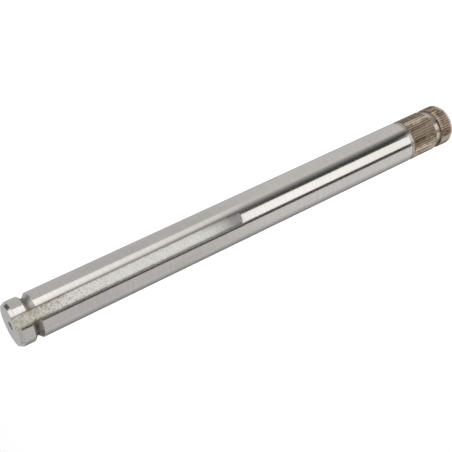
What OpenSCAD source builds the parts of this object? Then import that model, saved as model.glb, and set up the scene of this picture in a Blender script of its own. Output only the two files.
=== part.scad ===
// Serrated lever shaft, one piece of steel, standing on its serrated end.
// The axis is Z, the serrated end face is at z = 0 and the keyway faces -Y. Sizes are in millimetres.

/* [Shaft] */
// Length over both end faces
shaft_len = 190.1; // [150:0.1:260]
// Diameter of the ground body and of the plain end's head
body_d = 16; // [13:0.1:24]
// Angle of the end chamfers and of the slopes beside the neck, from the axis
chamfer_angle = 30; // [20:1:45]

/* [Plain end] */
// Length along the axis of the chamfer on the plain end
plain_chamfer_len = 1.2; // [0.5:0.1:2]
// Distance from the plain end face to the near edge of the bevelled groove
groove_from_end = 5.2; // [4:0.1:12]
// Width of the bevelled groove at the surface
groove_w = 3.2; // [3:0.1:6]
// Depth of the bevelled groove, with sides at 45 degrees
groove_depth = 1.4; // [0.5:0.1:1.4]

/* [Keyway] */
// Width of the keyway
keyway_w = 4.45; // [2:0.05:6]
// Depth of the keyway's flat floor below the surface
keyway_depth = 2.4; // [0.8:0.1:3]
// Length of the keyway from the plain end face to where its floor has risen to the surface
keyway_len = 87.9; // [50:0.1:110]
// Diameter of the round cutter that left the sloping run-out
cutter_d = 50; // [30:1:80]
// Depth by which the cutter dips below the flat floor at its deepest point
cutter_dip = 0.05; // [0.02:0.01:0.1]

/* [Serrated end] */
// Number of teeth
teeth = 48; // [36:1:60]
// Depth of the tooth tips below the surface of the ground body
tip_drop = 0; // [0:0.05:0.5]
// Depth of the tooth spaces
tooth_depth = 0.35; // [0.3:0.05:0.6]
// Width of the flat land on each tooth tip
tip_land_w = 0.16; // [0.1:0.02:0.24]
// Width of the flat at the bottom of each tooth space
root_land_w = 0.12; // [0.06:0.02:0.2]
// Angle by which a tooth tip is turned away from the keyway's centre line
tooth_turn = 5; // [0:0.5:10]
// Length of the toothed part
toothed_len = 20.7; // [16:0.1:30]
// Length over which the tooth spaces run out to the neck
runout_len = 1.2; // [0.8:0.1:2]
// Distance by which the tooth spaces run out past the ends of the teeth
runout_past = 0.3; // [0.2:0.1:0.5]
// Length along the axis of the chamfer on the serrated end
toothed_chamfer_len = 1.5; // [0.5:0.1:2]
// Length of the smooth neck between the teeth and the ground body
neck_len = 1.6; // [1:0.1:3]
// Depth of the neck below the tooth tips
neck_depth = 0.2; // [0.1:0.05:0.2]

/* [Ring groove] */
// Distance from the serrated end face to the middle of the ring groove
ring_from_end = 7.65; // [5:0.05:11]
// Width of the ring groove
ring_w = 2.6; // [1.6:0.1:4]
// Depth of the ring groove below the tooth tips
ring_depth = 0.85; // [0.6:0.05:1.2]
// Radius of the corners at the bottom of the ring groove
ring_corner_r = 0.2; // [0.1:0.05:0.4]

/* [Centre holes] */
// Diameter of the 60 degree centre hole at each end face
centre_mouth_d = 3; // [2:0.1:4]
// Diameter of the pilot drilling behind the cone
centre_pilot_d = 1.4; // [1:0.1:1.8]
// Depth of the pilot drilling from the end face
centre_pilot_depth = 3.2; // [2.8:0.1:6]

/* [Hidden] */
$fn = 96;
cutter_facets = 240;
corner_facets = 24;
hole_facets = 48;
// Length by which a cutting shape passes the face that it opens
overshoot = 0.5;
body_r = body_d / 2;
tip_r = body_r - tip_drop;
root_r = tip_r - tooth_depth;
neck_r = tip_r - neck_depth;
chamfer_slope = tan(chamfer_angle);
plain_face_r = body_r - plain_chamfer_len * chamfer_slope;
toothed_face_r = tip_r - toothed_chamfer_len * chamfer_slope;
groove_top_z = shaft_len - groove_from_end;
groove_bottom_z = groove_top_z - groove_w;
body_z = toothed_len + neck_len;
shoulder_len = (body_r - neck_r) / chamfer_slope;
ring_bottom_r = tip_r - ring_depth;
centre_half_angle = 30;
centre_cone_len = (centre_mouth_d - centre_pilot_d) / 2 / tan(centre_half_angle);
cutter_r = cutter_d / 2;
keyway_end_z = shaft_len - keyway_len;
cutter_depth = keyway_depth + cutter_dip;
cutter_reach = sqrt(cutter_depth * (cutter_d - cutter_depth));
cutter_z = keyway_end_z + cutter_reach;
pitch_angle = 360 / teeth;
keyway_angle = -90;
tip_half_angle = asin(tip_land_w / 2 / tip_r);
root_half_angle = asin(root_land_w / 2 / root_r);

function polar(r, angle) = [r * cos(angle), r * sin(angle)];

// The four corners of one tooth, from its root land to its tip land
function tooth_corners(angle) = [
    polar(root_r, angle - pitch_angle / 2 + root_half_angle),
    polar(tip_r, angle - tip_half_angle),
    polar(tip_r, angle + tip_half_angle),
    polar(root_r, angle + pitch_angle / 2 - root_half_angle)
];

// Turned blank from the tooth run-out up to the plain end, with the bevelled groove.
// The run-out cone starts as far inside the tooth roots as it ends above them.
module turned_body() {
    runout_z = toothed_len + runout_past;
    core_r = 2 * root_r - neck_r;
    core_z = runout_z - 2 * runout_len;
    rotate_extrude()
        polygon([
            [0, core_z],
            [core_r, core_z],
            [neck_r, runout_z],
            [neck_r, body_z - shoulder_len],
            [body_r, body_z],
            [body_r, groove_bottom_z],
            [body_r - groove_depth, groove_bottom_z + groove_depth],
            [body_r - groove_depth, groove_top_z - groove_depth],
            [body_r, groove_top_z],
            [body_r, shaft_len - plain_chamfer_len],
            [plain_face_r, shaft_len],
            [0, shaft_len]
        ]);
}

// Envelope of the toothed length: the end chamfer below and sloping tooth ends above
module toothed_envelope() {
    spare = overshoot * chamfer_slope;
    lead_z = toothed_len - (tip_r - neck_r) / chamfer_slope;
    rotate_extrude()
        polygon([
            [0, 0],
            [toothed_face_r, 0],
            [tip_r + spare, toothed_chamfer_len + overshoot],
            [tip_r + spare, lead_z - overshoot],
            [neck_r - spare, toothed_len + overshoot],
            [0, toothed_len + overshoot]
        ]);
}

// Serration, with every tooth cut straight along the axis
module serration() {
    intersection() {
        linear_extrude(height = toothed_len + overshoot)
            polygon([
                for (i = [0 : teeth - 1])
                    each tooth_corners(keyway_angle - tooth_turn + i * pitch_angle)
            ]);
        toothed_envelope();
    }
}

// Flat-bottomed groove with rounded corners that crosses the serration
module ring_groove() {
    half_w = ring_w / 2;
    translate([0, 0, ring_from_end])
        rotate_extrude() {
            translate([ring_bottom_r + ring_corner_r, -half_w])
                square([ring_depth - ring_corner_r + overshoot, ring_w]);
            translate([ring_bottom_r, ring_corner_r - half_w])
                square([ring_depth, ring_w - 2 * ring_corner_r]);
            for (side = [-1, 1])
                translate([ring_bottom_r + ring_corner_r, side * (half_w - ring_corner_r)])
                    circle(r = ring_corner_r, $fn = corner_facets);
        }
}

// Keyway open at the plain end, with the run-out of a disc cutter at its inner end
module keyway() {
    translate([-keyway_w / 2, -body_r - keyway_depth, cutter_z])
        cube([keyway_w, 2 * keyway_depth, shaft_len - cutter_z + overshoot]);
    translate([-keyway_w / 2, -body_r + cutter_depth - cutter_r, cutter_z])
        rotate([0, 90, 0])
            cylinder(r = cutter_r, h = keyway_w, $fn = cutter_facets);
}

// Centre hole at z = 0, opening downwards
module centre_hole() {
    translate([0, 0, -overshoot])
        cylinder(
            r1 = centre_mouth_d / 2 + overshoot * tan(centre_half_angle),
            r2 = centre_pilot_d / 2,
            h = centre_cone_len + overshoot,
            $fn = hole_facets
        );
    cylinder(d = centre_pilot_d, h = centre_pilot_depth, $fn = hole_facets);
}

// The whole shaft, turned, serrated and milled from one bar
module shaft() {
    color("#b9b7b3")
        difference() {
            union() {
                turned_body();
                serration();
            }
            ring_groove();
            keyway();
            centre_hole();
            translate([0, 0, shaft_len])
                mirror([0, 0, 1])
                    centre_hole();
        }
}

shaft();
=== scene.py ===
"""Dresses the serrated lever shaft in ground, milled and rusty steel, and lights it like the photograph."""
import math

import bpy
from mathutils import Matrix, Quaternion, Vector


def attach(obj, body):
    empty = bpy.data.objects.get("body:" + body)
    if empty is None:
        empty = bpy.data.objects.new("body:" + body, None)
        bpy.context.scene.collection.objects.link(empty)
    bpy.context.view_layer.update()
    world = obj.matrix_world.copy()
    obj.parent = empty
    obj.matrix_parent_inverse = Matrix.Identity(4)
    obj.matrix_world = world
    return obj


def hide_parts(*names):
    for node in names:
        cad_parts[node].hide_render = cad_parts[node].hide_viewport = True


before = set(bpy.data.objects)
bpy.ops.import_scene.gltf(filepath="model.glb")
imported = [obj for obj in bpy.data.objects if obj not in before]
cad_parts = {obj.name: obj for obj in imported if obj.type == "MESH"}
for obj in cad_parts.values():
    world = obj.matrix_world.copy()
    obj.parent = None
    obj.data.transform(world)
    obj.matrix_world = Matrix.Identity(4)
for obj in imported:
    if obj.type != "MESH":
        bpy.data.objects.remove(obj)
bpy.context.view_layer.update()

MM = 0.001

# Sizes of the shaft, repeated from the part's source, in millimetres and degrees
SHAFT_LEN = 190.1
BODY_R = 8.0
CHAMFER_ANGLE = 30.0
PLAIN_CHAMFER_LEN = 1.2
GROOVE_FROM_END = 5.2
GROOVE_W = 3.2
GROOVE_DEPTH = 1.4
KEYWAY_W = 4.45
KEYWAY_DEPTH = 2.4
KEYWAY_LEN = 87.9
CUTTER_R = 25.0
CUTTER_DIP = 0.05
TEETH = 48
TOOTH_DEPTH = 0.35
TIP_LAND_W = 0.16
ROOT_LAND_W = 0.12
TOOTH_TURN = 5.0
TOOTHED_LEN = 20.7
RUNOUT_LEN = 1.2
RUNOUT_PAST = 0.3
TOOTHED_CHAMFER_LEN = 1.5
NECK_LEN = 1.6
NECK_DEPTH = 0.2
RING_FROM_END = 7.65
RING_W = 2.6
RING_DEPTH = 0.85
RING_CORNER_R = 0.2
CENTRE_MOUTH_R = 1.5
CENTRE_PILOT_R = 0.7
CENTRE_PILOT_DEPTH = 3.2
CENTRE_HALF_ANGLE = 30.0

# Sizes that follow from them
SLOPE = math.tan(math.radians(CHAMFER_ANGLE))
ROOT_R = BODY_R - TOOTH_DEPTH
NECK_R = BODY_R - NECK_DEPTH
PLAIN_FACE_R = BODY_R - PLAIN_CHAMFER_LEN * SLOPE
TOOTHED_FACE_R = BODY_R - TOOTHED_CHAMFER_LEN * SLOPE
BODY_Z = TOOTHED_LEN + NECK_LEN
GROOVE_TOP_Z = SHAFT_LEN - GROOVE_FROM_END
GROOVE_LOW_Z = GROOVE_TOP_Z - GROOVE_W
GROOVE_FLAT_Z = GROOVE_LOW_Z + GROOVE_DEPTH
GROOVE_R = BODY_R - GROOVE_DEPTH
RING_BOTTOM_R = BODY_R - RING_DEPTH
RING_LOW_Z = RING_FROM_END - RING_W / 2
CENTRE_CONE_LEN = (CENTRE_MOUTH_R - CENTRE_PILOT_R) / math.tan(math.radians(CENTRE_HALF_ANGLE))
FLOOR_Y = BODY_R - KEYWAY_DEPTH
KEYWAY_END_Z = SHAFT_LEN - KEYWAY_LEN
CUTTER_DEPTH = KEYWAY_DEPTH + CUTTER_DIP
CUTTER_Y = BODY_R - CUTTER_DEPTH + CUTTER_R
CUTTER_Z = KEYWAY_END_Z + math.sqrt(CUTTER_DEPTH * (2 * CUTTER_R - CUTTER_DEPTH))
PITCH_ANGLE = 360.0 / TEETH

# Size of the small break on each machined edge, in millimetres
EDGE_BREAK = 0.07
# Largest share of a shallow keyway wall that the break on its rim takes
BREAK_SHARE = 0.45
# Angle by which the rounding points of a tooth lie beside its corners, in degrees
TIP_ROUND = 0.2
ROOT_ROUND = 0.2
# Distance by which those points stand off the sharp outline, in millimetres
ROUND_OFFSET = 0.004
# Share of a tooth's tip land that stays flat
TIP_FLAT_SHARE = 0.7
# Points of one tooth's outline, of the turned surface round the shaft and of the keyway's floor
POINTS_PER_TOOTH = 9
COLUMNS = TEETH * POINTS_PER_TOOTH
FLOOR_POINTS = 13
# Points of every ring: the turned surface, the floor and the three more that the keyway's rims need
RING_POINTS = COLUMNS + FLOOR_POINTS + 3
KEYWAY_ANGLE = -90.0
FIRST_TOOTH_ANGLE = KEYWAY_ANGLE - TOOTH_TURN + PITCH_ANGLE / 2
# Height from which the rings start at the keyway instead of at a tooth
KEYWAY_RINGS_Z = KEYWAY_END_Z - 1.0
# Radius of a circle on the plain end's face, and the angles from the keyway's middle of those of its points
# that join the keyway's rims, broken edges and floor corners
FACE_RING_R = 4.4
RIM_BEARING = 32.0
WALL_BEARING = 31.0
FLOOR_BEARING = 26.0
# Radius of the smallest ring, at the bottom of each centre hole
HOLE_CENTRE_R = 0.001
# Decimal places of a millimetre to which points agree that become one vertex
MERGE_DIGITS = 5


def polar(radius, angle, z):
    turn = math.radians(angle)
    return (radius * math.cos(turn), radius * math.sin(turn), z)


def closed(points):
    """The ring, filled up with its first point to the number of points that every ring has."""
    return points + [points[0]] * (RING_POINTS - len(points))


def floor_bearings(limit):
    """Evenly spaced values from -limit to limit, one for each point of the keyway's floor."""
    return [limit * (2 * k / (FLOOR_POINTS - 1) - 1) for k in range(FLOOR_POINTS)]


def keyway_floor(z):
    """Distance of the keyway's floor from the axis at height z.

    It is more than the body's radius where there is no keyway."""
    reach = abs(z - CUTTER_Z)
    cut = CUTTER_Y - math.sqrt(max(CUTTER_R ** 2 - reach ** 2, 0.0))
    if z > CUTTER_Z:
        return min(cut, FLOOR_Y)
    return cut


def turned_ring(z, radius):
    """One ring of points at height z, once round the turned surface and then across the keyway."""
    floor = keyway_floor(z)
    half = 0.0
    if floor < radius:
        half = min(KEYWAY_W / 2, math.sqrt(radius ** 2 - floor ** 2))
    rim = math.sqrt(radius ** 2 - half ** 2)
    wall = rim - floor if half else 0.0
    broken = min(EDGE_BREAK, BREAK_SHARE * max(wall, 0.0))
    edge = math.degrees(math.asin((half + broken) / radius))
    step = (360.0 - 2 * edge) / COLUMNS
    start = KEYWAY_ANGLE + edge
    points = [polar(radius, start + step * k, z) for k in range(COLUMNS + 1)]
    if not half:
        return closed(points)
    low = rim - broken
    base = rim - wall
    points.append((-half, -low, z))
    points += [(x, -base, z) for x in floor_bearings(half)]
    points.append((half, -low, z))
    return points


def tooth_outline():
    """Angle from the tooth's middle and radius of each point on one tooth, from root to root."""
    tip = math.degrees(math.asin(TIP_LAND_W / 2 / BODY_R))
    root = PITCH_ANGLE / 2 - math.degrees(math.asin(ROOT_LAND_W / 2 / ROOT_R))
    rise = TOOTH_DEPTH / (root - tip)
    side = [
        (root + ROOT_ROUND / 2, ROOT_R + ROUND_OFFSET),
        (root - ROOT_ROUND, ROOT_R + rise * ROOT_ROUND + ROUND_OFFSET),
        (tip + TIP_ROUND, BODY_R - rise * TIP_ROUND - ROUND_OFFSET),
        (tip * TIP_FLAT_SHARE, BODY_R),
    ]
    outline = [(-PITCH_ANGLE / 2, ROOT_R)]
    outline += [(-angle, radius) for angle, radius in side]
    outline += list(reversed(side))
    return outline


def toothed_ring(place):
    """One ring round the serration.

    The function place gives a point's radius and height from its radius on the tooth."""
    points = []
    for tooth in range(TEETH):
        middle = FIRST_TOOTH_ANGLE + PITCH_ANGLE / 2 + tooth * PITCH_ANGLE
        for angle, tooth_radius in tooth_outline():
            radius, z = place(tooth_radius)
            points.append(polar(radius, middle + angle, z))
    return closed(points)


def even_ring(z, radius):
    """A full ring with evenly spaced points that starts where the toothed rings start."""
    return closed([polar(radius, FIRST_TOOTH_ANGLE + 360.0 * k / COLUMNS, z) for k in range(COLUMNS)])


def shrunk(ring, radius, z):
    """The same ring brought to one radius, for the end faces and centre holes."""
    points = []
    for x, y, _ in ring:
        reach = math.hypot(x, y)
        points.append((x / reach * radius, y / reach * radius, z))
    return points


def face_ring(radius):
    """A circle on the plain end's face, with points spread so that no mesh face crosses the keyway."""
    sweep = (360.0 - 2 * RIM_BEARING) / COLUMNS
    bearings = [RIM_BEARING + sweep * k for k in range(COLUMNS + 1)]
    bearings.append(-WALL_BEARING)
    bearings += floor_bearings(FLOOR_BEARING)
    bearings.append(WALL_BEARING)
    return [polar(radius, KEYWAY_ANGLE + bearing, SHAFT_LEN) for bearing in bearings]


def end_chamfer(radius):
    return (radius, (radius - TOOTHED_FACE_R) / SLOPE)


def runout_radius(z):
    return ROOT_R + (NECK_R - ROOT_R) / RUNOUT_LEN * (z - TOOTHED_LEN - RUNOUT_PAST + RUNOUT_LEN)


def lead_height(radius):
    return TOOTHED_LEN - (radius - NECK_R) / SLOPE


def runout_height(radius):
    return TOOTHED_LEN + RUNOUT_PAST - (NECK_R - radius) * RUNOUT_LEN / (NECK_R - ROOT_R)


# Height and radius where the sloping tooth ends meet the run-out of the spaces
RUNOUT_RISE = (NECK_R - ROOT_R) / RUNOUT_LEN
VALLEY_Z = TOOTHED_LEN + RUNOUT_PAST * RUNOUT_RISE / (RUNOUT_RISE + SLOPE)
VALLEY_R = runout_radius(VALLEY_Z)


def tooth_end(radius):
    if radius > VALLEY_R:
        return (radius, lead_height(radius))
    return (radius, runout_height(radius))


def ring_groove_rings():
    """The rings across the ring groove, from its lower edge to its upper one."""
    half = RING_W / 2
    corner_steps = 8
    inner = []
    for k in range(corner_steps + 1):
        turn = math.radians(90.0 * k / corner_steps)
        inner.append((
            RING_BOTTOM_R + RING_CORNER_R * (1 - math.sin(turn)),
            half - RING_CORNER_R * (1 - math.cos(turn)),
        ))
    return [
        toothed_ring(lambda radius: (radius, RING_FROM_END - half - EDGE_BREAK / 2)),
        toothed_ring(lambda radius: (radius - EDGE_BREAK, RING_FROM_END - half)),
        *(even_ring(RING_FROM_END - reach, radius) for radius, reach in inner),
        *(even_ring(RING_FROM_END + reach, radius) for radius, reach in reversed(inner)),
        toothed_ring(lambda radius: (radius - EDGE_BREAK, RING_FROM_END + half)),
        toothed_ring(lambda radius: (radius, RING_FROM_END + half + EDGE_BREAK / 2)),
    ]


def with_breaks(corners, size):
    """Replaces each inner corner of a turned outline by two points a little along its sides."""
    outline = [corners[0]]
    for before, corner, after in zip(corners, corners[1:], corners[2:]):
        for other in (before, after):
            run = math.hypot(other[0] - corner[0], other[1] - corner[1])
            share = size / run
            outline.append(tuple(c + (o - c) * share for c, o in zip(corner, other)))
    outline.append(corners[-1])
    return outline


def keyway_stations():
    """Heights at which the run-out of the keyway needs a ring of its own."""
    full_y = math.sqrt(BODY_R ** 2 - (KEYWAY_W / 2) ** 2)
    full_z = CUTTER_Z - math.sqrt(CUTTER_R ** 2 - (CUTTER_Y - full_y) ** 2)
    flat_z = CUTTER_Z + math.sqrt(CUTTER_R ** 2 - (CUTTER_Y - FLOOR_Y) ** 2)
    narrow_steps = 9
    ramp_steps = 14
    stations = []
    for k in range(narrow_steps + 1):
        stations.append(KEYWAY_END_Z + (full_z - KEYWAY_END_Z) * (k / narrow_steps) ** 2)
    for k in range(1, ramp_steps + 1):
        stations.append(full_z + (flat_z - full_z) * k / ramp_steps)
    return stations


def turned_outline():
    """Height and radius along the turned part, with extra stations where the keyway changes."""
    shoulder_z = BODY_Z - (BODY_R - NECK_R) / SLOPE
    corners = [
        (TOOTHED_LEN + RUNOUT_PAST, NECK_R),
        (shoulder_z, NECK_R),
        (BODY_Z, BODY_R),
        (GROOVE_LOW_Z, BODY_R),
        (GROOVE_FLAT_Z, GROOVE_R),
        (GROOVE_TOP_Z - GROOVE_DEPTH, GROOVE_R),
        (GROOVE_TOP_Z, BODY_R),
        (SHAFT_LEN - PLAIN_CHAMFER_LEN, BODY_R),
        (SHAFT_LEN, PLAIN_FACE_R),
    ]
    return sorted(with_breaks(corners, EDGE_BREAK) + [(z, BODY_R) for z in keyway_stations()])


def region_of(z):
    """Name of the finish that the turned surface has just above height z."""
    if z < BODY_Z - EDGE_BREAK:
        return "turned"
    if z < GROOVE_LOW_Z - EDGE_BREAK / 2:
        return "ground"
    if z < GROOVE_TOP_Z:
        return "groove"
    if z < SHAFT_LEN:
        return "ground"
    return "face"


def foot_rings():
    """The lower centre hole, the serrated end's face and the start of its chamfer."""
    face = even_ring(0.0, TOOTHED_FACE_R)
    return [
        (shrunk(face, HOLE_CENTRE_R, CENTRE_PILOT_DEPTH), "face"),
        (shrunk(face, CENTRE_PILOT_R, CENTRE_PILOT_DEPTH), "face"),
        (shrunk(face, CENTRE_PILOT_R, CENTRE_CONE_LEN), "face"),
        (shrunk(face, CENTRE_MOUTH_R, 0.0), "face"),
        (shrunk(face, CENTRE_MOUTH_R + EDGE_BREAK, 0.0), "face"),
        (shrunk(face, TOOTHED_FACE_R - EDGE_BREAK, 0.0), "turned"),
        (shrunk(face, TOOTHED_FACE_R + EDGE_BREAK * SLOPE, EDGE_BREAK), "turned"),
    ]


def serration_rings():
    """The teeth from the chamfer to the neck, with the ring groove across them."""
    groove = ring_groove_rings()
    return [
        (toothed_ring(end_chamfer), "toothed"),
        *((ring, "ring") for ring in groove[:-1]),
        (groove[-1], "toothed"),
        (toothed_ring(tooth_end), "toothed"),
        (toothed_ring(lambda radius: (VALLEY_R, VALLEY_Z)), "turned"),
    ]


def body_rings():
    """The turned surface from the neck to the plain end, with the bevelled groove and the keyway."""
    rings = []
    for z, radius in turned_outline():
        make_ring = even_ring if z < KEYWAY_RINGS_Z else turned_ring
        rings.append((make_ring(z, radius), region_of(z)))
    return rings


def plain_end_rings():
    """The plain end's face and its centre hole."""
    face = face_ring(FACE_RING_R)
    return [
        (face, "face"),
        (shrunk(face, CENTRE_MOUTH_R + EDGE_BREAK, SHAFT_LEN), "face"),
        (shrunk(face, CENTRE_MOUTH_R, SHAFT_LEN - EDGE_BREAK), "face"),
        (shrunk(face, CENTRE_PILOT_R, SHAFT_LEN - CENTRE_CONE_LEN), "face"),
        (shrunk(face, CENTRE_PILOT_R, SHAFT_LEN - CENTRE_PILOT_DEPTH), "face"),
        (shrunk(face, HOLE_CENTRE_R, SHAFT_LEN - CENTRE_PILOT_DEPTH), "face"),
    ]


def shaft_rings():
    """All rings from the bottom of one centre hole to that of the other, each with the finish above it."""
    return foot_rings() + serration_rings() + body_rings() + plain_end_rings()


def build_mesh(name, rings, finishes):
    """Joins the rings into one closed mesh. The columns that cross the keyway take the milled finish."""
    vertices = []
    index_of = {}
    faces = []
    slots = []

    def index(point):
        key = tuple(round(c, MERGE_DIGITS) for c in point)
        if key not in index_of:
            index_of[key] = len(vertices)
            vertices.append(tuple(c * MM for c in point))
        return index_of[key]

    for (low, finish), (high, _) in zip(rings, rings[1:]):
        count = len(low)
        for k in range(count):
            after = (k + 1) % count
            loop = [index(low[k]), index(low[after]), index(high[after]), index(high[k])]
            loop = [v for i, v in enumerate(loop) if v != loop[i - 1]]
            if len(set(loop)) < 3:
                continue
            faces.append(loop)
            milled = k >= COLUMNS and finish != "face"
            slots.append(finishes.index("milled" if milled else finish))
    mesh = bpy.data.meshes.new(name)
    mesh.from_pydata(vertices, [], faces)
    mesh.polygons.foreach_set("material_index", slots)
    mesh.update()
    mesh.validate()
    return mesh


# Materials

# Middle of a noise's values, and the range that holds most of them
NOISE_MIDDLE = 0.5
NOISE_LOW = 0.3
NOISE_HIGH = 0.7


class Finish:
    """A node material whose pattern follows the shaft's own coordinates, in millimetres."""

    def __init__(self, name, **values):
        self.material = bpy.data.materials.new(name)
        self.material.use_nodes = True
        tree = self.material.node_tree
        self.nodes = tree.nodes
        self.links = tree.links
        self.shader = self.nodes["Principled BSDF"]
        for socket, value in values.items():
            self.shader.inputs[socket.replace("_", " ")].default_value = value
        coords = self.nodes.new("ShaderNodeTexCoord")
        scale = self.nodes.new("ShaderNodeVectorMath")
        scale.operation = "SCALE"
        scale.inputs["Scale"].default_value = 1 / MM
        self.links.new(coords.outputs["Object"], scale.inputs[0])
        self.place = scale.outputs["Vector"]
        split = self.nodes.new("ShaderNodeSeparateXYZ")
        self.links.new(self.place, split.inputs["Vector"])
        self.x = split.outputs["X"]
        self.y = split.outputs["Y"]
        self.z = split.outputs["Z"]

    def join(self, socket, value):
        """Links a node's output to the socket, or sets the socket to a number or a colour."""
        if isinstance(value, (int, float)):
            socket.default_value = value
        elif isinstance(value, tuple):
            socket.default_value = (*value, 1.0)
        else:
            self.links.new(value, socket)

    def calc(self, operation, first, second=0.0, clamp=False):
        node = self.nodes.new("ShaderNodeMath")
        node.operation = operation
        node.use_clamp = clamp
        self.join(node.inputs[0], first)
        self.join(node.inputs[1], second)
        return node.outputs["Value"]

    def product(self, first, *others):
        for other in others:
            first = self.calc("MULTIPLY", first, other)
        return first

    def total(self, first, second, clamp=False):
        return self.calc("ADD", first, second, clamp)

    def noise(self, scale, squeeze=(1.0, 1.0, 1.0), detail=2.0, roughness=0.5, shift=0.0):
        """Noise with scale features to the millimetre, times squeeze along each axis."""
        mapping = self.nodes.new("ShaderNodeMapping")
        mapping.inputs["Scale"].default_value = squeeze
        mapping.inputs["Location"].default_value = (shift, shift, shift)
        self.links.new(self.place, mapping.inputs["Vector"])
        node = self.nodes.new("ShaderNodeTexNoise")
        node.inputs["Scale"].default_value = scale
        node.inputs["Detail"].default_value = detail
        node.inputs["Roughness"].default_value = roughness
        self.links.new(mapping.outputs["Vector"], node.inputs["Vector"])
        return node.outputs["Fac"]

    def ramp(self, value, low, high, bottom=0.0, top=1.0):
        """Maps value from low..high to bottom..top and holds it there."""
        node = self.nodes.new("ShaderNodeMapRange")
        node.clamp = True
        node.inputs["From Min"].default_value = low
        node.inputs["From Max"].default_value = high
        node.inputs["To Min"].default_value = bottom
        node.inputs["To Max"].default_value = top
        self.links.new(value, node.inputs["Value"])
        return node.outputs["Result"]

    def spread(self, noise, bottom=0.0, top=1.0):
        """Maps the usual range of a noise to bottom..top."""
        return self.ramp(noise, NOISE_LOW, NOISE_HIGH, bottom, top)

    def between(self, value, stretch, soft):
        """1 where value lies inside the stretch, fading to 0 over soft on either side."""
        low, high = stretch
        rise = self.ramp(value, low - soft, low)
        return self.product(rise, self.ramp(value, high, high + soft, bottom=1.0, top=0.0))

    def spot(self, middle, radius, soft, wander):
        """1 inside a ragged spot round a point, fading to 0 over soft."""
        gap = self.nodes.new("ShaderNodeVectorMath")
        gap.operation = "DISTANCE"
        gap.inputs[1].default_value = middle
        self.links.new(self.place, gap.inputs[0])
        ragged = self.total(gap.outputs["Value"], self.product(wander, radius))
        limit = (1 + NOISE_MIDDLE) * radius
        return self.ramp(ragged, limit - soft, limit, bottom=1.0, top=0.0)

    def mix(self, share, first, second, blend="MIX"):
        """A colour between first and second, or with the blend MULTIPLY their product."""
        node = self.nodes.new("ShaderNodeMix")
        node.data_type = "RGBA"
        node.blend_type = blend
        colours = [socket for socket in node.inputs if socket.type == "RGBA"]
        self.join(node.inputs[0], share)
        self.join(colours[0], first)
        self.join(colours[1], second)
        return next(socket for socket in node.outputs if socket.type == "RGBA")

    def mottle(self, noise, first, second):
        """The two colours in patches that follow the noise."""
        return self.mix(self.spread(noise), first, second)

    def bearing(self):
        """Angle round the shaft from the keyway's middle in degrees, positive towards -X."""
        turn = self.calc("ARCTAN2", self.product(self.x, -1.0), self.product(self.y, -1.0))
        return self.calc("DEGREES", turn)

    def reach(self):
        """Distance from the shaft's axis."""
        squares = self.total(self.product(self.x, self.x), self.product(self.y, self.y))
        return self.calc("SQRT", squares)

    def aside(self):
        """Distance from the plane through the axis and the keyway's middle."""
        return self.calc("ABSOLUTE", self.x)

    def bump(self, height, strength, distance):
        """Raises the surface where height is large, by up to distance in millimetres."""
        node = self.nodes.new("ShaderNodeBump")
        node.inputs["Strength"].default_value = strength
        node.inputs["Distance"].default_value = distance * MM
        self.links.new(height, node.inputs["Height"])
        self.links.new(node.outputs["Normal"], self.shader.inputs["Normal"])

    def turned_marks(self):
        """Stretches the highlights as marks do that run round the shaft."""
        node = self.nodes.new("ShaderNodeTangent")
        node.direction_type = "RADIAL"
        node.axis = "Z"
        self.links.new(node.outputs["Tangent"], self.shader.inputs["Tangent"])

    def surface(self, colour, roughness):
        self.links.new(colour, self.shader.inputs["Base Color"])
        self.links.new(roughness, self.shader.inputs["Roughness"])
        return self.material


GROUND = (0.745, 0.715, 0.68)
GROUND_DULL = (0.70, 0.67, 0.635)
# Shades of the coarser marks, which the ground colours are multiplied with
HATCH_DARK = (0.92, 0.92, 0.92)
HATCH_LIGHT = (1.0, 1.0, 1.0)
# Values of the noise between which the duller patches begin, and the least and greatest roughness
GROUND_PATCHES = (0.35, 0.7)
GROUND_ROUGHNESS = (0.14, 0.2)


def ground_steel():
    """Cylindrically ground steel, bright, with fine marks that run round the shaft."""
    steel = Finish("ground_steel", Metallic=1.0, Anisotropic=0.7, Anisotropic_Rotation=0.25)
    marks = steel.noise(1.0, squeeze=(0.05, 0.05, 9.0), detail=4.0, roughness=0.6)
    hatch = steel.noise(1.0, squeeze=(0.22, 0.22, 1.9), detail=3.0, roughness=0.6, shift=21.0)
    patches = steel.noise(0.12, squeeze=(1.0, 1.0, 0.4), detail=3.0, shift=7.0)
    tone = steel.mix(steel.ramp(patches, *GROUND_PATCHES), GROUND, GROUND_DULL)
    shade = steel.mottle(hatch, HATCH_DARK, HATCH_LIGHT)
    steel.bump(marks, strength=0.2, distance=0.002)
    steel.turned_marks()
    shaded = steel.mix(1.0, tone, shade, blend="MULTIPLY")
    return steel.surface(shaded, steel.spread(marks, *GROUND_ROUGHNESS))


TURNED = (0.57, 0.53, 0.49)
TURNED_DULL = (0.49, 0.45, 0.41)
NECK_STAIN = (0.36, 0.29, 0.22)
STAIN_PATCHES = (0.5, 0.7)
TURNED_ROUGHNESS = (0.26, 0.36)


def turned_steel():
    """Lathe-turned steel of the neck and of the serrated end's chamfer."""
    steel = Finish("turned_steel", Metallic=1.0, Anisotropic=0.4, Anisotropic_Rotation=0.25)
    marks = steel.noise(1.0, squeeze=(0.08, 0.08, 7.0), detail=3.0)
    stains = steel.noise(0.9, detail=4.0, roughness=0.6, shift=5.0)
    tone = steel.mottle(marks, TURNED, TURNED_DULL)
    stained = steel.mix(steel.ramp(stains, *STAIN_PATCHES, top=0.5), tone, NECK_STAIN)
    steel.bump(marks, strength=0.3, distance=0.006)
    steel.turned_marks()
    return steel.surface(stained, steel.spread(marks, *TURNED_ROUGHNESS))


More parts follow.
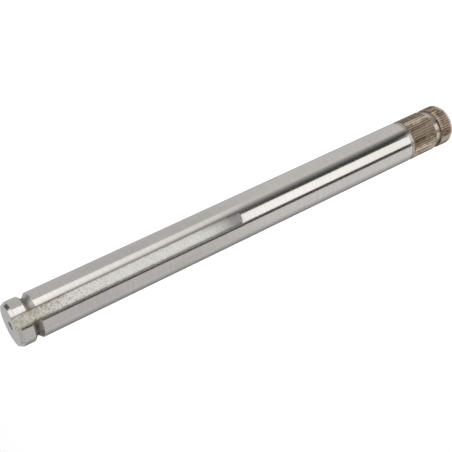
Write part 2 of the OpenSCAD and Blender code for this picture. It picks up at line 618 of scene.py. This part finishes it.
BEVEL = (0.56, 0.54, 0.50)
BEVEL_DULL = (0.44, 0.425, 0.39)
# Painted highlight on part of the lower bevel, and dirt with painted shade in the bottom and towards -X
BEVEL_PAINTED_HIGHLIGHT = (0.9, 0.87, 0.82)
BEVEL_DIRT_AND_SHADE = (0.10, 0.085, 0.065)
BEVEL_PATCHES = (0.3, 0.6)
BEVEL_ROUGHNESS = (0.28, 0.4)
# Stretches across the shaft along X in millimetres: where the bevelled groove's dirt and painted shade thin
# out, where more of them lies at the rim, and where the lower bevel has its painted highlight
DIRT_AND_SHADE_THIN = (-4.0, 3.0)
RIM_DIRT_AND_SHADE = (-7.2, -6.0)
HIGHLIGHT_STRETCH = (2.4, 4.0)
# Distances from the axis in millimetres over which the dirt and painted shade, the painted highlight, and
# the rougher bottom with its own painted shade fade out
DIRT_AND_SHADE_DEPTHS = (GROOVE_R, BODY_R - 0.3)
HIGHLIGHT_DEPTHS = (GROOVE_R + 0.5, BODY_R - 0.2)
BOTTOM_SHADE_DEPTHS = (GROOVE_R + 0.03, GROOVE_R + 0.15)
# Heights over which the dirt and painted shade thicken and the painted highlight ends
DIRT_AND_SHADE_HEIGHTS = (GROOVE_FLAT_Z - 0.2, GROOVE_FLAT_Z)
HIGHLIGHT_HEIGHTS = (GROOVE_FLAT_Z, GROOVE_FLAT_Z + 0.2)


def groove_steel():
    """Bevelled groove, turned, with dirt and painted shade towards its rougher bottom and on its shaded
    side.

    A painted highlight lies on part of its lower bevel.
    """
    steel = Finish("groove_steel", Metallic=1.0)
    grain = steel.noise(1.6, detail=4.0, roughness=0.6, shift=2.0)
    patches = steel.noise(0.5, detail=3.0, shift=13.0)
    reach = steel.reach()
    # Painted highlight: part of the lower bevel made brighter in colour
    highlight_share = steel.product(
        steel.between(steel.x, HIGHLIGHT_STRETCH, soft=1.4),
        steel.ramp(reach, *HIGHLIGHT_DEPTHS, bottom=0.85, top=0.15),
        steel.ramp(steel.z, *HIGHLIGHT_HEIGHTS, bottom=1.0, top=0.0),
    )
    bright = steel.mix(highlight_share, steel.mottle(grain, BEVEL, BEVEL_DULL), BEVEL_PAINTED_HIGHLIGHT)
    # Dirt and painted shade: darker towards the bottom, above the lower bevel and towards -X
    dirt = steel.product(
        steel.ramp(reach, *DIRT_AND_SHADE_DEPTHS, bottom=1.0, top=0.25),
        steel.ramp(patches, *BEVEL_PATCHES, bottom=0.5, top=0.9),
        steel.ramp(steel.x, *DIRT_AND_SHADE_THIN, bottom=0.9, top=0.4),
        steel.ramp(steel.z, *DIRT_AND_SHADE_HEIGHTS, bottom=0.6),
    )
    # More dirt and painted shade at the -X rim, and painted shade at the bottom, which is also rougher
    rim = steel.ramp(steel.x, *RIM_DIRT_AND_SHADE, bottom=0.6, top=0.0)
    bottom = steel.ramp(reach, *BOTTOM_SHADE_DEPTHS, bottom=0.2, top=0.0)
    cover = steel.total(dirt, steel.total(rim, bottom), clamp=True)
    steel.bump(grain, strength=0.4, distance=0.02)
    return steel.surface(
        steel.mix(cover, bright, BEVEL_DIRT_AND_SHADE),
        steel.total(steel.spread(grain, *BEVEL_ROUGHNESS), bottom),
    )


MILLED_DULL = (0.63, 0.615, 0.58)
MILLED = (0.88, 0.865, 0.825)
PIT = (0.25, 0.23, 0.17)
# Dirt and painted shade in the keyway's corners, next to its walls
CORNER_GRIME_AND_SHADE = (0.20, 0.17, 0.13)
OLIVE_FILM = (0.41, 0.37, 0.265)
KEYWAY_RUST = (0.32, 0.19, 0.13)
WIPED_GREY = (0.66, 0.66, 0.62)
KEYWAY_DIRT = (0.17, 0.125, 0.08)
# Painted shade on the run-out's rising floor and on its +X side
RUNOUT_PAINTED_SHADE = (0.30, 0.29, 0.25)
MILLED_ROUGHNESS = (0.34, 0.5)
# Heights along the keyway, in millimetres, over which its cover and the run-out's painted shade grow, lie or
# end
PITS_DEEPEN = (150.0, 184.0)
FILM_THICKENS = (172.0, 183.0)
RUST_STRETCH = (173.5, 181.0)
SIDE_DIRT_STRETCH = (177.5, 182.0)
CROSSING_STRETCH = (GROOVE_LOW_Z + 1.2, GROOVE_TOP_Z - 0.8)
CORNERS_CLEAR = (184.5, 186.5)
RUNOUT_RAMP_SHADE = (111.0, 119.0)
RUNOUT_SIDE_SHADE = (103.0, 116.0)
# Distances in millimetres from the keyway's middle over which the dirt and painted shade in its corners and
# the dirt of the crossing begin, and how ragged a noise makes the first of them
CORNER_SHADE_BEGINS = (2.1, 2.7)
CROSSING_DIRT_BEGINS = (1.2, 1.9)
CORNER_WANDER = 1.1
# Places along X over which the rust begins, the dirt on one side ends and the run-out's painted shade begins
RUST_BEGINS = (-0.8, 1.0)
SIDE_DIRT_ENDS = (-1.9, -1.2)
SIDE_SHADE_BEGINS = (0.2, 1.8)
# Values of the noises between which each pattern begins
MILLED_GRAIN = (0.36, 0.62)
PIT_SPECKS = (0.53, 0.62)
RUST_SPECKS = (0.45, 0.55)
RUST_PATCHES = (0.42, 0.52)
FILM_PATCHES = (0.4, 0.6)
DIRT_PATCHES = (0.35, 0.6)
# Greatest shares of the dirt and painted shade in the corners, the rust and the wiped patch
CORNER_SHADE_SHARE = 0.8
DABS_SHARE = 0.6
WIPED_SHARE = 0.6
# Middle of the wiped patch on the keyway's floor in the head
WIPED_PATCH = (0.2, -FLOOR_Y, 185.4)


def milled_cover(steel, pitted, wander, specks):
    """Milled steel under dirt and painted shade in its corners, the olive film, the rust and the wiped
    patch.
    """
    ragged = steel.total(steel.aside(), steel.product(wander, CORNER_WANDER))
    # Dirt and painted shade: the floor darker next to its walls, less so in the head
    grime_and_shade = steel.product(
        steel.ramp(ragged, *CORNER_SHADE_BEGINS),
        steel.ramp(steel.z, *CORNERS_CLEAR, bottom=1.0, top=0.3),
        CORNER_SHADE_SHARE,
    )
    corner_shaded = steel.mix(grime_and_shade, pitted, CORNER_GRIME_AND_SHADE)
    film = steel.product(
        steel.ramp(steel.z, *FILM_THICKENS),
        steel.ramp(wander, *FILM_PATCHES, bottom=0.25, top=0.7),
    )
    filmed = steel.mix(film, corner_shaded, OLIVE_FILM)
    dabs = steel.product(
        steel.between(steel.z, RUST_STRETCH, soft=4.0),
        steel.ramp(steel.x, *RUST_BEGINS),
        steel.ramp(specks, *RUST_SPECKS),
        steel.ramp(wander, *RUST_PATCHES),
        DABS_SHARE,
    )
    rusty = steel.mix(dabs, filmed, KEYWAY_RUST)
    wiped = steel.product(steel.spot(WIPED_PATCH, radius=1.2, soft=1.0, wander=wander), WIPED_SHARE)
    return steel.mix(wiped, rusty, WIPED_GREY)


def milled_steel():
    """Floor and walls of the keyway, milled, speckled and dirty towards the plain end.

    Painted shade lies in its corners and on its run-out.
    """
    steel = Finish("milled_steel", Metallic=1.0)
    grain = steel.noise(2.8, detail=4.0, roughness=0.65)
    wander = steel.noise(0.9, detail=4.0, roughness=0.6, shift=9.0)
    specks = steel.noise(1.7, detail=5.0, roughness=0.7, shift=31.0)
    tone = steel.mix(steel.ramp(grain, *MILLED_GRAIN), MILLED_DULL, MILLED)
    pits = steel.product(
        steel.ramp(specks, *PIT_SPECKS),
        steel.ramp(steel.z, *PITS_DEEPEN, bottom=0.3),
    )
    covered = milled_cover(steel, steel.mix(pits, tone, PIT), wander, specks)
    crossing = steel.product(
        steel.between(steel.z, CROSSING_STRETCH, soft=0.7),
        steel.ramp(steel.aside(), *CROSSING_DIRT_BEGINS),
    )
    one_side = steel.product(
        steel.between(steel.z, SIDE_DIRT_STRETCH, soft=1.5),
        steel.ramp(steel.x, *SIDE_DIRT_ENDS, bottom=0.55, top=0.0),
    )
    dirt = steel.product(
        steel.total(crossing, one_side, clamp=True),
        steel.ramp(wander, *DIRT_PATCHES, bottom=0.4, top=0.8),
    )
    dirty = steel.mix(dirt, covered, KEYWAY_DIRT)
    # Painted shade: the run-out darker as its floor rises, and darker still towards +X
    shaded = steel.product(
        steel.between(steel.z, RUNOUT_SIDE_SHADE, soft=3.0),
        steel.ramp(steel.x, *SIDE_SHADE_BEGINS, top=0.3),
    )
    runout_shade = steel.total(steel.ramp(steel.z, *RUNOUT_RAMP_SHADE, bottom=0.27, top=0.0), shaded)
    steel.bump(grain, strength=0.5, distance=0.03)
    return steel.surface(steel.mix(runout_shade, dirty, RUNOUT_PAINTED_SHADE), steel.spread(grain, *MILLED_ROUGHNESS))


SPACE_BROWN = (0.30, 0.235, 0.175)
BARE_TIP = (0.69, 0.585, 0.485)
OLD_GREASE = (0.17, 0.12, 0.073)
PALE_RUST = (0.62, 0.38, 0.27)
ORANGE_RUST = (0.70, 0.32, 0.12)
TOOTHED_ROUGHNESS = (0.18, 0.32)
# Bearings round the serration in degrees: two stretches of painted highlight where the grease is thinned,
# the middle with a fainter one, a stretch of painted shade, and the cleaner lip beside the ring groove
HIGHLIGHT_ABOVE = (-53.0, -39.0)
HIGHLIGHT_BELOW = (50.0, 59.0)
HIGHLIGHT_MIDDLE = (-18.0, 19.0)
SHADE_BELOW = (25.0, 36.0)
LIP_BEARINGS = (-50.0, 2.0)
# Angle by which a noise makes the ends of those stretches ragged, either way, in degrees
RAGGED_ANGLE = 9.0
# Heights in millimetres of that lip, and over which the greasy collar below the ring groove ends
LIP_STRETCH = (5.3, 6.5)
COLLAR_ENDS = (5.0, 6.0)
# Distances from the axis over which the metal gets barer
BARE_DEPTHS = (ROOT_R, BODY_R - 0.1)
# Values of the noises between which the metal gets barer and the grease thicker
BARE_GRAIN = (0.25, 0.65)
GREASE_PATCHES = (0.3, 0.6)
# Sum of the painted highlights and shade over which the grease goes from full to least
PAINTED_LIGHT_RANGE = (-0.25, 1.0)
# What the middle's fainter painted highlight adds, what the stretch of painted shade takes away, and what
# the lip takes from the grease
HIGHLIGHT_MIDDLE_SHARE = 0.3
SHADE_BELOW_SHARE = 0.2
LIP_SHARE = 0.45
# Greatest shares of the rust spot and of the paler rust
RUST_SHARE = 0.85
HALO_SHARE = 0.5
# Middles of the rust spot on the collar and of the paler rust round it
RUST_SPOT = (5.7, -5.6, 4.5)
RUST_HALO = (5.4, -5.9, 4.6)


def serration_grease(steel, patches):
    """Share of the serration that old grease covers, from 0 to 1.

    The grease is thinned where highlights are painted and thickened where shade is painted.
    """
    bearing = steel.total(steel.bearing(), steel.spread(patches, -RAGGED_ANGLE, RAGGED_ANGLE))
    # Painted highlights where the grease is thinned along these bearings, painted shade where it is
    # thickened
    highlights = steel.total(
        steel.between(bearing, HIGHLIGHT_ABOVE, soft=9.0),
        steel.between(bearing, HIGHLIGHT_BELOW, soft=11.0),
    )
    middle = steel.product(steel.between(bearing, HIGHLIGHT_MIDDLE, soft=4.0), HIGHLIGHT_MIDDLE_SHARE)
    painted_shade_below = steel.product(steel.between(bearing, SHADE_BELOW, soft=6.0), SHADE_BELOW_SHARE)
    painted_light = steel.calc("SUBTRACT", steel.total(highlights, middle), painted_shade_below)
    cover = steel.ramp(painted_light, *PAINTED_LIGHT_RANGE, bottom=1.0, top=0.05)
    collar = steel.ramp(steel.z, *COLLAR_ENDS, bottom=0.2, top=0.0)
    lip = steel.product(
        steel.between(steel.z, LIP_STRETCH, soft=0.6),
        steel.between(bearing, LIP_BEARINGS, soft=8.0),
        LIP_SHARE,
    )
    return steel.product(
        steel.calc("SUBTRACT", steel.total(cover, collar), lip, clamp=True),
        steel.ramp(patches, *GREASE_PATCHES, bottom=0.65),
    )


def toothed_steel():
    """Serrated part, brown with rust and old grease, bare metal on the tips.

    Thinner grease paints highlights along two stretches and the middle, thicker grease paints shade along
    one.
    """
    steel = Finish("serration_steel", Metallic=0.95)
    grain = steel.noise(1.6, detail=4.0, roughness=0.6)
    patches = steel.noise(0.45, squeeze=(1.0, 1.0, 0.7), detail=4.0, roughness=0.65, shift=4.0)
    bare = steel.product(
        steel.ramp(steel.reach(), *BARE_DEPTHS, bottom=0.3),
        steel.ramp(grain, *BARE_GRAIN, bottom=0.8),
    )
    tone = steel.mix(bare, SPACE_BROWN, BARE_TIP)
    greasy = steel.mix(serration_grease(steel, patches), tone, OLD_GREASE)
    halo = steel.product(steel.spot(RUST_HALO, radius=1.8, soft=1.6, wander=grain), HALO_SHARE)
    paler = steel.mix(halo, greasy, PALE_RUST)
    rust = steel.product(steel.spot(RUST_SPOT, radius=0.9, soft=0.4, wander=grain), RUST_SHARE)
    steel.bump(grain, strength=0.2, distance=0.015)
    return steel.surface(steel.mix(rust, paler, ORANGE_RUST), steel.spread(grain, *TOOTHED_ROUGHNESS))


RING_BRIGHT = (0.76, 0.675, 0.585)
RING_DULL = (0.64, 0.565, 0.49)
RING_STAIN_AND_SHADE = (0.20, 0.16, 0.12)
RING_WALL_SHADE = (0.18, 0.13, 0.095)
RING_ROUGHNESS = (0.3, 0.42)
# Heights in millimetres over which the lower wall's painted shade ends, and its greatest share
WALL_SHADE_ENDS = (RING_LOW_Z + 0.02, RING_LOW_Z + 0.25)
WALL_SHADE_SHARE = 0.75
# Stains and painted shade in the ring groove: the bearings in degrees between which each lies, the degrees
# over which it fades out, and its share
RING_STAINS_AND_SHADE = (
    ((-13.0, -8.0), 7.0, 0.95),
    ((18.0, 22.0), 5.0, 0.5),
    ((-2.0, 13.0), 5.0, 0.2),
    ((54.0, 90.0), 12.0, 0.6),
)


def ring_steel():
    """Ring groove across the serration, bright, with stains and painted shade in places.

    Its lower wall has brown painted shade.
    """
    steel = Finish("ring_steel", Metallic=1.0)
    grain = steel.noise(1.0, squeeze=(0.3, 0.3, 4.0), detail=3.0)
    tone = steel.mottle(grain, RING_BRIGHT, RING_DULL)
    bearing = steel.bearing()
    # Stains and painted shade at the listed bearings
    stain_and_shade = 0.0
    for stretch, soft, share in RING_STAINS_AND_SHADE:
        stain_and_shade = steel.total(stain_and_shade, steel.product(steel.between(bearing, stretch, soft), share))
    stained = steel.mix(stain_and_shade, tone, RING_STAIN_AND_SHADE)
    # Painted shade on the lower wall
    wall = steel.product(steel.ramp(steel.z, *WALL_SHADE_ENDS, bottom=1.0, top=0.0), WALL_SHADE_SHARE)
    return steel.surface(steel.mix(wall, stained, RING_WALL_SHADE), steel.spread(grain, *RING_ROUGHNESS))


FACED_DULL = (0.70, 0.685, 0.66)
FACED = (0.80, 0.785, 0.765)
HOLE_DARK = (0.08, 0.075, 0.065)
FACE_ROUGHNESS = (0.34, 0.46)
# Distances from the axis in millimetres over which the centre hole's darkening ends
HOLE_DARK_ENDS = (CENTRE_MOUTH_R - 0.1, CENTRE_MOUTH_R + 0.1)
# Distance between neighbouring lathe marks on the end faces, in millimetres
FACE_FEED = 0.16


def face_steel():
    """Faced end with concentric lathe marks and a dark centre hole."""
    steel = Finish("face_steel", Metallic=1.0)
    reach = steel.reach()
    marks = steel.calc("SINE", steel.product(reach, 2 * math.pi / FACE_FEED))
    grain = steel.noise(1.2, detail=3.0)
    hole = steel.ramp(reach, *HOLE_DARK_ENDS, bottom=0.85, top=0.0)
    steel.bump(marks, strength=0.3, distance=0.005)
    return steel.surface(
        steel.mix(hole, steel.mottle(grain, FACED_DULL, FACED), HOLE_DARK),
        steel.spread(grain, *FACE_ROUGHNESS),
    )


FINISHES = {
    "ground": ground_steel(),
    "turned": turned_steel(),
    "groove": groove_steel(),
    "milled": milled_steel(),
    "toothed": toothed_steel(),
    "ring": ring_steel(),
    "face": face_steel(),
}
# Angle between neighbouring faces from which their edge is sharp, in degrees
SHARP_ANGLE = 12.0


def link(name, data):
    piece = bpy.data.objects.new(name, data)
    bpy.context.scene.collection.objects.link(piece)
    return piece


shaft = link("dressed_shaft", build_mesh("dressed_shaft", shaft_rings(), list(FINISHES)))
for material in FINISHES.values():
    shaft.data.materials.append(material)
shaft.data.shade_smooth()
shaft.data.set_sharp_from_angle(angle=math.radians(SHARP_ANGLE))
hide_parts("shaft")
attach(shaft, "root")


# Camera

# Place of the camera: distance from the axis and height in metres, and the angle by which it stands round
# from the keyway's side towards +X
CAMERA_DISTANCE = 0.315137
CAMERA_HEIGHT = 0.249954
CAMERA_TURN = math.radians(0.51)
# Direction of its view in degrees
CAMERA_PAN = -0.11433
CAMERA_PITCH = -24.6155
CAMERA_ROLL = -115.3244
# Focal length and sensor width in millimetres
CAMERA_LENS = 76.7239
SENSOR_WIDTH = 36.0
# Nearest distance that it sees, in metres
CLIP_START = 0.01


def aimed_camera():
    data = bpy.data.cameras.new("camera")
    data.lens = CAMERA_LENS
    data.sensor_width = SENSOR_WIDTH
    data.clip_start = CLIP_START
    camera = link("camera", data)
    pan = math.radians(CAMERA_PAN) - CAMERA_TURN
    pitch = math.radians(CAMERA_PITCH)
    aim = Vector((math.sin(pan) * math.cos(pitch), math.cos(pan) * math.cos(pitch), math.sin(pitch)))
    roll = Quaternion((0, 0, 1), math.radians(CAMERA_ROLL))
    camera.location = (
        CAMERA_DISTANCE * math.sin(CAMERA_TURN),
        -CAMERA_DISTANCE * math.cos(CAMERA_TURN),
        CAMERA_HEIGHT,
    )
    camera.rotation_mode = "QUATERNION"
    camera.rotation_quaternion = aim.to_track_quat("-Z", "Y") @ roll
    return camera


bpy.context.scene.camera = aimed_camera()


# Studio

WHITE = (1.0, 1.0, 1.0, 1.0)
# Half the floor's width in metres, its glow as it is seen, and the shade of the share that takes the shadow
FLOOR_HALF = 6.0
FLOOR_GLOW = 0.765
FLOOR_CLOTH = (0.35, 0.35, 0.35, 1.0)


def add(nodes, kind, **sockets):
    node = nodes.new(kind)
    for name, value in sockets.items():
        node.inputs[name].default_value = value
    return node


def seen_directly(nodes, links):
    """1 for rays from the camera, in reflections and through glass, 0 for those that only carry light."""
    path = nodes.new("ShaderNodeLightPath")
    seen = path.outputs["Is Camera Ray"]
    for kind in ("Is Glossy Ray", "Is Transmission Ray"):
        either = nodes.new("ShaderNodeMath")
        either.operation = "MAXIMUM"
        links.new(seen, either.inputs[0])
        links.new(path.outputs[kind], either.inputs[1])
        seen = either.outputs["Value"]
    return seen


def floor_material():
    """White as the background for the camera and for reflections, with a share that takes the shadow."""
    material = bpy.data.materials.new("floor_white")
    material.use_nodes = True
    nodes = material.node_tree.nodes
    links = material.node_tree.links
    nodes.clear()
    strength = nodes.new("ShaderNodeMath")
    strength.operation = "MULTIPLY"
    strength.inputs[1].default_value = FLOOR_GLOW
    links.new(seen_directly(nodes, links), strength.inputs[0])
    glow = add(nodes, "ShaderNodeEmission", Color=WHITE)
    links.new(strength.outputs["Value"], glow.inputs["Strength"])
    cloth = add(nodes, "ShaderNodeBsdfDiffuse", Color=FLOOR_CLOTH)
    both = nodes.new("ShaderNodeAddShader")
    links.new(glow.outputs["Emission"], both.inputs[0])
    links.new(cloth.outputs["BSDF"], both.inputs[1])
    out = nodes.new("ShaderNodeOutputMaterial")
    links.new(both.outputs["Shader"], out.inputs["Surface"])
    return material


def plain_mesh(name, points, faces, material):
    mesh = bpy.data.meshes.new(name)
    mesh.from_pydata(points, [], faces)
    mesh.update()
    mesh.materials.append(material)
    return link(name, mesh)


FLOOR_CORNERS = [
    (-FLOOR_HALF, -FLOOR_HALF, 0),
    (FLOOR_HALF, -FLOOR_HALF, 0),
    (FLOOR_HALF, FLOOR_HALF, 0),
    (-FLOOR_HALF, FLOOR_HALF, 0),
]
floor = plain_mesh("floor", FLOOR_CORNERS, [(0, 1, 2, 3)], floor_material())


def card_material():
    """Plain card, as bright as its shade attribute says."""
    material = bpy.data.materials.new("card")
    material.use_nodes = True
    nodes = material.node_tree.nodes
    links = material.node_tree.links
    nodes.clear()
    shade = nodes.new("ShaderNodeAttribute")
    shade.attribute_name = "shade"
    glow = add(nodes, "ShaderNodeEmission", Color=WHITE)
    links.new(shade.outputs["Fac"], glow.inputs["Strength"])
    out = nodes.new("ShaderNodeOutputMaterial")
    links.new(glow.outputs["Emission"], out.inputs["Surface"])
    return material


CARD = card_material()
# Height of the cards above the floor, in millimetres
CARD_HEIGHT = 1.0
# Strips of a card between two of its stops
CARD_STRIPS = 8


def mirrored_mesh(name, points, faces, shades):
    """A piece of the studio with a shade at each point, which only reflections show."""
    piece = plain_mesh(name, points, faces, CARD)
    values = piece.data.attributes.new("shade", "FLOAT", "POINT")
    values.data.foreach_set("value", shades)
    piece.visible_camera = False
    piece.visible_diffuse = False
    piece.visible_transmission = False
    piece.visible_shadow = False
    return piece


def card_point(band, reach):
    """Point on the cards' plane, reach millimetres from the shaft, that the camera sees mirrored at a band.

    Bands are angles round the shaft from the camera's side in degrees, positive towards -X."""
    turn = math.radians(band)
    heading = 2 * turn + math.asin(BODY_R * MM / CAMERA_DISTANCE * math.sin(turn))
    x = -(BODY_R * math.sin(turn) + reach * math.sin(heading)) * MM
    y = -(BODY_R * math.cos(turn) + reach * math.cos(heading)) * MM
    return (
        x * math.cos(CAMERA_TURN) - y * math.sin(CAMERA_TURN),
        x * math.sin(CAMERA_TURN) + y * math.cos(CAMERA_TURN),
        CARD_HEIGHT * MM,
    )


def card(name, near, far, near_stops, far_stops):
    """A flat card beside the shaft's foot, between two reaches.

    Each stop is a band and the card's shade there."""
    points = []
    shades = []
    pairs = list(zip(near_stops, far_stops))
    for before, after in zip(pairs, pairs[1:]):
        for k in range(CARD_STRIPS + 1):
            share = k / CARD_STRIPS
            for reach, start, end in zip((near, far), before, after):
                points.append(card_point(start[0] + (end[0] - start[0]) * share, reach))
                shades.append(start[1] + (end[1] - start[1]) * share)
    faces = [(2 * k, 2 * k + 1, 2 * k + 3, 2 * k + 2) for k in range(len(points) // 2 - 1)]
    piece = mirrored_mesh(name, points, faces, shades)


def even(shade, *bands):
    """Stops at the bands, all with the same shade."""
    return [(band, shade) for band in bands]


# Reaches of the cards from the shaft, in millimetres. The serration mirrors what lies from FOOT to NECK, the
# body below the keyway what lies from NECK to MIDDLE, the body beside the keyway what lies from MIDDLE to
# HEAD, and the head what lies from HEAD to FAR. The dark band fades out from MIDDLE to FADED.
FOOT = 1.0
NECK = 27.5
MIDDLE = 225.0
FADED = 420.0
HEAD = 870.0
FAR = 2300.0

# White cards, which give the bright band in the middle
card("card_white_foot", FOOT, NECK, even(1.18, -23.0, 17.5), even(1.18, -12.0, 17.5))
card("card_white_near", NECK, MIDDLE, even(1.22, -5.3, 15.6), even(1.38, -5.3, 16.3))
card("card_white_middle", MIDDLE, FADED, even(0.9, -6.0, 18.3), even(1.3, -6.0, 17.36))
card("card_white_far", FADED, HEAD, even(1.3, -15.5, 17.36), even(1.3, -15.5, 16.8))
card("card_white_head", HEAD, FAR, even(1.3, -15.5, 16.6), even(1.3, -15.5, 16.6))

# Black cards, which give the dark line beside the bright band
card("card_line_foot", FOOT, NECK, even(0.05, 17.5, 23.5), even(0.05, 17.5, 23.5))
card("card_line", NECK, MIDDLE, even(0.05, 15.6, 24.8), even(0.05, 16.3, 24.1))
card("card_line_middle", MIDDLE, HEAD, even(0.05, 18.3, 23.8), even(0.05, 16.8, 22.4))
card("card_line_far", HEAD, FAR, even(0.04, 16.6, 22.4), even(0.04, 16.6, 22.4))

# Grey cards for the side towards -X, darker at its rim
card("card_grey_low", FOOT, MIDDLE, ((24.5, 0.78), (50.0, 0.77)), ((23.8, 0.74), (50.0, 0.73)))
card("card_grey_low_far", MIDDLE, FAR, ((23.8, 0.61), (50.0, 0.59)), ((22.4, 0.69), (50.0, 0.62)))
card(
    "card_rim_low", FOOT, FAR,
    ((50.0, 0.68), (72.0, 0.25), (90.0, 0.15)),
    ((50.0, 0.61), (72.0, 0.26), (90.0, 0.26)),
)

# Dark cards, which give the dark band on the side towards +X
card(
    "card_dark_foot", FOOT, NECK,
    ((-42.0, 0.7), (-33.0, 0.25), (-23.0, 0.05)),
    ((-37.0, 0.7), (-25.0, 0.25), (-12.0, 0.05)),
)
card(
    "card_dark", NECK, MIDDLE,
    ((-35.5, 0.7), (-24.5, 0.28), (-17.5, 0.06), (-5.3, 0.04)),
    ((-27.0, 0.7), (-21.0, 0.38), (-12.5, 0.07), (-5.3, 0.04)),
)
card(
    "card_dark_end", MIDDLE, FADED,
    ((-15.5, 0.2), (-11.3, 0.05), (-6.0, 0.05)),
    ((-15.5, 0.45), (-11.3, 0.3), (-6.0, 0.6)),
)

# Cards for the side towards +X past that band: grey, and bright ones where the band has faded out
card(
    "card_grey_top", FOOT, MIDDLE,
    ((-90.0, 0.45), (-75.0, 0.52), (-66.0, 0.65), (-37.0, 0.7)),
    ((-90.0, 0.45), (-75.0, 0.52), (-66.0, 0.65), (-27.0, 0.7)),
)
card(
    "card_left_middle", MIDDLE, FADED,
    ((-33.0, 0.9), (-23.0, 0.86), (-15.5, 0.12)),
    ((-33.0, 1.06), (-22.5, 1.04), (-15.5, 0.42)),
)
card(
    "card_left_far", FADED, HEAD,
    ((-33.0, 1.06), (-22.5, 1.04), (-15.5, 0.42)),
    ((-33.2, 1.2), (-22.0, 1.18), (-15.5, 0.72)),
)
card(
    "card_left_head", HEAD, FAR,
    ((-34.0, 1.6), (-19.0, 1.6), (-15.5, 1.4)),
    ((-34.0, 1.8), (-19.0, 1.8), (-15.5, 1.6)),
)
card(
    "card_grey_top_far", MIDDLE, FAR,
    ((-90.0, 0.44), (-75.0, 0.52), (-66.0, 0.58), (-33.0, 0.58)),
    ((-90.0, 0.44), (-75.0, 0.52), (-66.0, 0.58), (-33.0, 0.58)),
)


# Radius of the tent in metres, and the rows and columns of its mesh
TENT_RADIUS = 2.4
TENT_ROWS = 36
TENT_COLUMNS = 144
TENT_SHADE = 0.55
# Patches of the tent: azimuth from the camera's side towards +X, elevation, half width and half height in
# degrees, and brightness
TENT_PATCHES = {
    "above": (0.0, 90.0, 180.0, 14.0, 0.12),
    "behind_camera": (0.0, 18.0, 18.0, 14.0, 0.12),
    "dark_left_high": (-100.0, 60.0, 22.0, 9.0, 0.38),
    "dark_left_low": (-138.0, 38.0, 17.0, 13.0, 0.13),
    "dark_right": (112.0, 30.0, 20.0, 14.0, 0.12),
    "bright_right": (60.0, 38.5, 28.0, 13.5, 1.3),
    "bright_right_high": (92.0, 58.0, 19.0, 7.0, 1.1),
    "bright_back": (156.0, 28.0, 12.0, 14.0, 1.0),
}
# Angle over which a patch fades in, in degrees
PATCH_EDGE = 9.0


def tent_shade(azimuth, elevation):
    """Brightness of the tent in one direction, with each patch fading in over a few degrees."""
    shade = TENT_SHADE
    for middle, height, half_width, half_height, brightness in TENT_PATCHES.values():
        across = abs((azimuth - middle + 180.0) % 360.0 - 180.0) - half_width
        up = abs(elevation - height) - half_height
        outside = max(across, up)
        share = min(max(0.5 - outside / PATCH_EDGE, 0.0), 1.0)
        shade += (brightness - shade) * share
    return shade


def studio_tent():
    """A soft grey dome over the scene that shows in reflections only."""
    points = []
    shades = []
    for row in range(TENT_ROWS + 1):
        elevation = 90.0 * row / TENT_ROWS
        for column in range(TENT_COLUMNS):
            azimuth = 360.0 * column / TENT_COLUMNS
            rise = math.radians(elevation)
            turn = math.radians(azimuth)
            points.append((
                TENT_RADIUS * math.cos(rise) * math.sin(turn),
                -TENT_RADIUS * math.cos(rise) * math.cos(turn),
                TENT_RADIUS * math.sin(rise) + CARD_HEIGHT * MM,
            ))
            shades.append(tent_shade(azimuth, elevation))
    faces = []
    for row in range(TENT_ROWS):
        low = row * TENT_COLUMNS
        high = low + TENT_COLUMNS
        for column in range(TENT_COLUMNS):
            after = (column + 1) % TENT_COLUMNS
            faces.append((low + column, low + after, high + after, high + column))
    tent = mirrored_mesh("tent", points, faces, shades)


studio_tent()


# Soft lamps: place and width in metres, power in watts
LAMPS = {
    "light_above": ((0.2, -0.3, 1.6), 1.2, 14.0),
    "light_left": ((-1.3, -0.9, 1.0), 1.0, 8.0),
    "light_right": ((1.3, -0.5, 1.1), 1.0, 8.0),
}
# Point on the shaft that they face
LAMP_TARGET = Vector((0, 0, 0.1))


def area_light(name, place, width, power):
    data = bpy.data.lights.new(name, "AREA")
    data.shape = "DISK"
    data.size = width
    data.energy = power
    lamp = link(name, data)
    lamp.location = place
    lamp.rotation_mode = "QUATERNION"
    lamp.rotation_quaternion = (LAMP_TARGET - Vector(place)).to_track_quat("-Z", "Y")
    lamp.visible_camera = False
    lamp.visible_glossy = False


for lamp_name, settings in LAMPS.items():
    area_light(lamp_name, *settings)


# Brightness of the white background as light on the scene and as it is seen
SKY_LIGHT = 0.45
SKY_SEEN = 1.0


def make_world():
    world = bpy.data.worlds.new("studio")
    bpy.context.scene.world = world
    world.use_nodes = True
    nodes = world.node_tree.nodes
    links = world.node_tree.links
    nodes.clear()
    strength = nodes.new("ShaderNodeMapRange")
    strength.inputs["To Min"].default_value = SKY_LIGHT
    strength.inputs["To Max"].default_value = SKY_SEEN
    links.new(seen_directly(nodes, links), strength.inputs["Value"])
    sky = add(nodes, "ShaderNodeBackground", Color=WHITE)
    links.new(strength.outputs["Result"], sky.inputs["Strength"])
    out = nodes.new("ShaderNodeOutputWorld")
    links.new(sky.outputs["Background"], out.inputs["Surface"])


make_world()
bpy.context.scene.view_settings.view_transform = "Standard"
